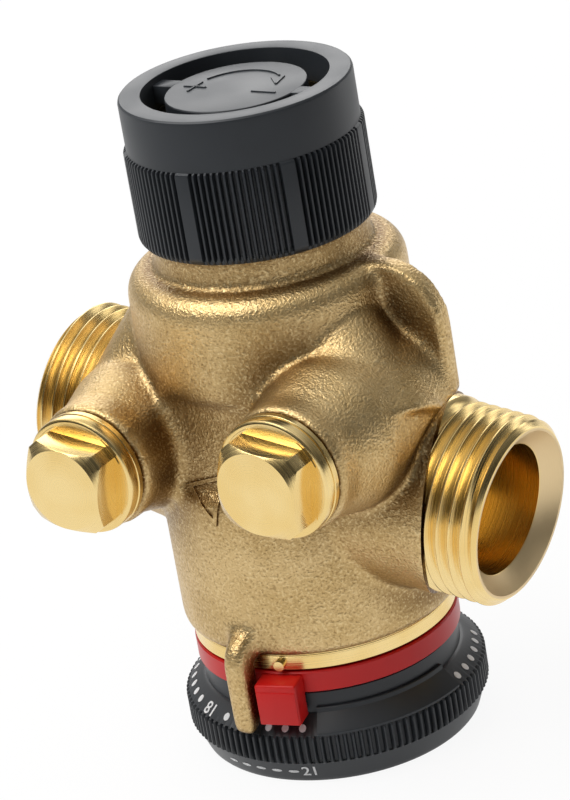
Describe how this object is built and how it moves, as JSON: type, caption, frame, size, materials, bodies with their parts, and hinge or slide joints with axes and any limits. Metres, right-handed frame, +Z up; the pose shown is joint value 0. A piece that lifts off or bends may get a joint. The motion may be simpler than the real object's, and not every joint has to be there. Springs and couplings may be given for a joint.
{
  "type": "regulating valve",
  "caption": "Cast brass regulating valve with two threaded pipe ports, two blanking plugs, a screw-on black cap, a knurled setting wheel and a red lock ring.",
  "frame": {"origin": "centre of the setting wheel's flat underside, on the spindle axis", "axes": "+Z up the spindle towards the cap, +X towards the lower port, -Y towards the two plugs"},
  "size_m": [0.0747, 0.0542, 0.0963],
  "materials": {
    "cast_brass": "sand cast, blasted",
    "turned_brass": "turned, bright",
    "anthracite_plastic": "fine moulded texture",
    "red_plastic": "moulded, satin",
    "inner_plastic": "moulded",
    "steel": "drawn and ground",
    "rubber": "moulded seal"
  },
  "bodies": {
    "root": {"body": "cast_brass", "valve_insert": "turned_brass", "insert_o_ring": "rubber", "gland_nut": "turned_brass", "gland_o_ring": "rubber", "seat_sleeve": "turned_brass", "seat_o_ring": "rubber", "bottom_insert": "turned_brass", "bottom_o_ring": "rubber", "spindle_o_ring": "rubber", "diaphragm": "rubber", "clamp_ring": "turned_brass", "diaphragm_spring": "steel", "stem_spring": "steel", "lock_ring": "red_plastic", "left_plug": "turned_brass", "right_plug": "turned_brass"},
    "stem": {"stem_pin": "steel", "valve_stem": "steel", "valve_disc": "turned_brass", "disc_seal": "rubber", "stem_nut": "turned_brass"},
    "cap": {"cap": "anthracite_plastic"},
    "setting": {"preset_sleeve": "inner_plastic", "preset_spindle": "steel", "spindle_circlip": "steel", "handwheel_screw": "steel"},
    "wheel": {"handwheel": "anthracite_plastic"},
    "piston": {"diaphragm_piston": "inner_plastic", "regulating_cup": "inner_plastic"}
  },
  "joints": [
    {"name": "stem_travel", "type": "slide", "parent": "root", "child": "stem", "axis": [0, 0, -1], "range_m": [0, 0.0028], "deforming": ["stem_spring"]},
    {"name": "cap_turn", "type": "hinge", "parent": "stem", "child": "cap", "pos_m": [0, 0, 0.09], "axis": [0, 0, 1], "range_deg": [-672, 0]},
    {"name": "setting_turn", "type": "hinge", "parent": "root", "child": "setting", "pos_m": [0, 0, 0.01], "axis": [0, 0, 1], "range_deg": [-288, 14.4]},
    {"name": "wheel_pull", "type": "slide", "parent": "setting", "child": "wheel", "axis": [0, 0, -1], "range_m": [0, 0.002]},
    {"name": "piston_travel", "type": "slide", "parent": "root", "child": "piston", "axis": [0, 0, -1], "range_m": [0, 0.0025], "stiffness_N_per_m": 1500, "springref_m": -0.002, "deforming": ["diaphragm_spring", "diaphragm"]}
  ],
  "couplings": [
    {"joint": "cap_turn", "follows": "stem_travel", "rad_per_m": -4188.8}
  ]
}
